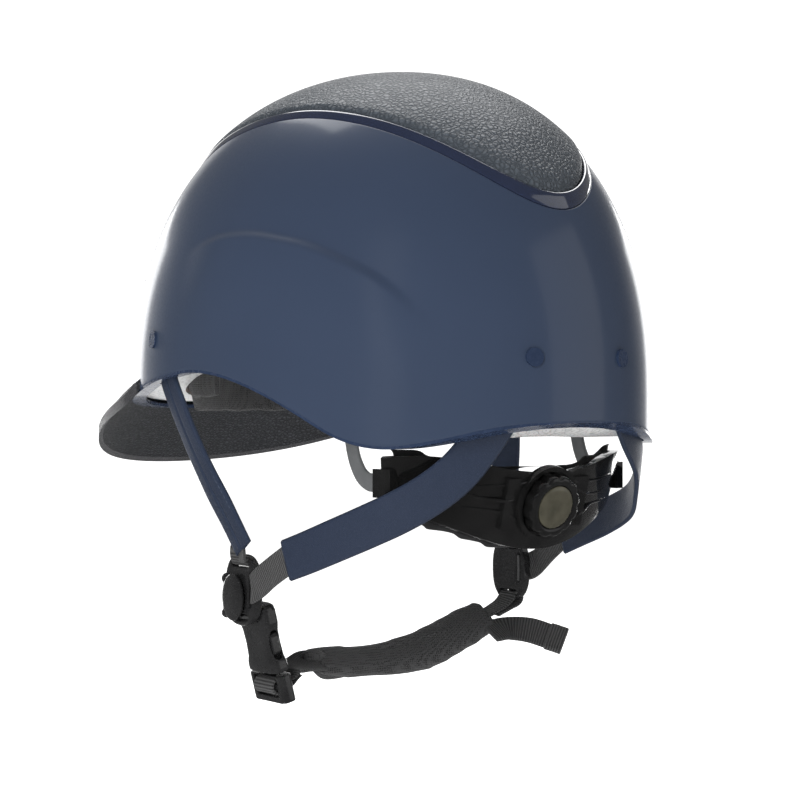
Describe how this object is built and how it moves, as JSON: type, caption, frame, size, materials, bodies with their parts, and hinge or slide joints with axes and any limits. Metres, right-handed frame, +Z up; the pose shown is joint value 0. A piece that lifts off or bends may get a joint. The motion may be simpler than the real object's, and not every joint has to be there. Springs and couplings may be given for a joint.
{
  "type": "equestrian riding helmet",
  "caption": "Riding helmet with a padded crown insert, wide peak, dial-adjusted nape cradle and Y-strap harness that closes with a side-release buckle.",
  "frame": {"origin": "centre of the head opening, level with the widest part of the dome", "axes": "+X towards the wearer's left, -Y the front with the peak, +Z up"},
  "size_m": [0.2196, 0.3209, 0.2841],
  "materials": {
    "shell": "satin navy lacquer on a moulded ABS shell",
    "trim_gloss": "high-gloss dark navy ring",
    "crown_leather": "pebble-grained leather look, blue-grey",
    "peak_leather": "pebble-grained leather look, charcoal",
    "peak_edge": "rolled and stitched edge band",
    "foam": null,
    "moulding": "dark navy edge moulding",
    "pad_mesh": "black spacer mesh",
    "pad_leather": "black brushed padding",
    "strap_leather": "navy leather look",
    "webbing": "black ribbed webbing",
    "black_plastic": "black moulded nylon, fine texture",
    "black_gloss": "glossy black moulded nylon",
    "grey_plastic": "grey translucent nylon",
    "dial_disc": "smoky olive clear-coated disc",
    "steel": "plain steel"
  },
  "bodies": {
    "helmet": {"outer_shell": "shell", "crown_trim": "trim_gloss", "crown_panel": "crown_leather", "front_plugs": "moulding", "rear_plugs": "moulding", "strap_rivets": "steel", "eps_liner": "foam", "rim_moulding": "moulding", "brow_pad": "pad_mesh", "crown_pad": "pad_mesh", "peak_board": "peak_leather", "peak_lining": "peak_leather", "peak_edge_band": "peak_edge", "arm_anchors": "black_plastic", "arm_rivets": "steel", "buckle_female": "black_plastic", "buckle_webbing": "webbing", "front_strap_left": "strap_leather", "rear_strap_left": "strap_leather", "front_webbing_left": "webbing", "rear_webbing_left": "webbing", "divider_left": "black_plastic", "lever_pin_left": "steel", "front_strap_right": "strap_leather", "rear_strap_right": "strap_leather", "front_webbing_right": "webbing", "rear_webbing_right": "webbing", "divider_right": "black_plastic", "lever_pin_right": "steel"},
    "arms": {"headband_arms": "grey_plastic"},
    "cradle": {"nape_cradle": "black_gloss", "drive_cover": "black_plastic", "nape_pad": "pad_leather"},
    "dial": {"dial_knob": "black_plastic", "dial_cap": "dial_disc", "dial_pinion": "grey_plastic"},
    "rack_left": {"rack_left": "grey_plastic"},
    "rack_right": {"rack_right": "grey_plastic"},
    "lever_left": {"divider_lever_left": "black_plastic"},
    "lever_right": {"divider_lever_right": "black_plastic"},
    "chin_strap": {"chin_webbing_left": "webbing", "chin_webbing_right": "webbing", "chin_pad": "pad_mesh", "strap_tail": "webbing"},
    "buckle_half": {"buckle_male": "black_plastic", "chin_web_loop": "webbing"},
    "prong_front": {"buckle_prong_front": "black_plastic"},
    "prong_rear": {"buckle_prong_rear": "black_plastic"}
  },
  "joints": [
    {"name": "cradle_tilt", "type": "hinge", "parent": "helmet", "child": "arms", "pos_m": [0, 0.053, 0.002], "axis": [1, 0, 0], "range_deg": [-8, 3]},
    {"name": "cradle_reach", "type": "slide", "parent": "arms", "child": "cradle", "axis": [0, -1, 0], "range_m": [-0.002, 0.004]},
    {"name": "dial_turn", "type": "hinge", "parent": "cradle", "child": "dial", "pos_m": [0, 0.11, -0.046], "axis": [0, -0.9632, 0.2689], "range_deg": [-23.99, 47.99]},
    {"name": "rack_left_slide", "type": "slide", "parent": "cradle", "child": "rack_left", "axis": [-1, 0, 0], "range_m": [-0.002, 0.004]},
    {"name": "rack_right_slide", "type": "slide", "parent": "cradle", "child": "rack_right", "axis": [1, 0, 0], "range_m": [-0.002, 0.004]},
    {"name": "lever_left_open", "type": "hinge", "parent": "helmet", "child": "lever_left", "pos_m": [0.0849, -0.0135, -0.0875], "axis": [0, 0, -1], "range_deg": [0, 75]},
    {"name": "lever_right_open", "type": "hinge", "parent": "helmet", "child": "lever_right", "pos_m": [-0.0844, -0.018, -0.0875], "axis": [0, 0, 1], "range_deg": [0, 75]},
    {"name": "chin_strap_swing", "type": "hinge", "parent": "helmet", "child": "chin_strap", "pos_m": [-0.0805, -0.009, -0.099], "axis": [0, 1, 0], "range_deg": [0, 35]},
    {"name": "buckle_turn", "type": "hinge", "parent": "chin_strap", "child": "buckle_half", "pos_m": [0.065, -0.0055, -0.1275], "axis": [0, 1, 0], "range_deg": [-35.5, 0.5]},
    {"name": "prong_front_press", "type": "hinge", "parent": "buckle_half", "child": "prong_front", "pos_m": [0.06688, -0.0122, -0.12044], "axis": [-0.9665, 0, 0.2568], "range_deg": [0, 8], "stiffness_Nm_per_rad": 0.05},
    {"name": "prong_rear_press", "type": "hinge", "parent": "buckle_half", "child": "prong_rear", "pos_m": [0.06688, 0.0012, -0.12044], "axis": [0.9665, 0, -0.2568], "range_deg": [0, 8], "stiffness_Nm_per_rad": 0.05}
  ],
  "couplings": [
    {"joint": "dial_turn", "follows": "cradle_reach", "rad_per_m": 209.44},
    {"joint": "rack_left_slide", "follows": "cradle_reach", "ratio": 1},
    {"joint": "rack_right_slide", "follows": "cradle_reach", "ratio": 1},
    {"joint": "buckle_turn", "follows": "chin_strap_swing", "ratio": -1}
  ]
}
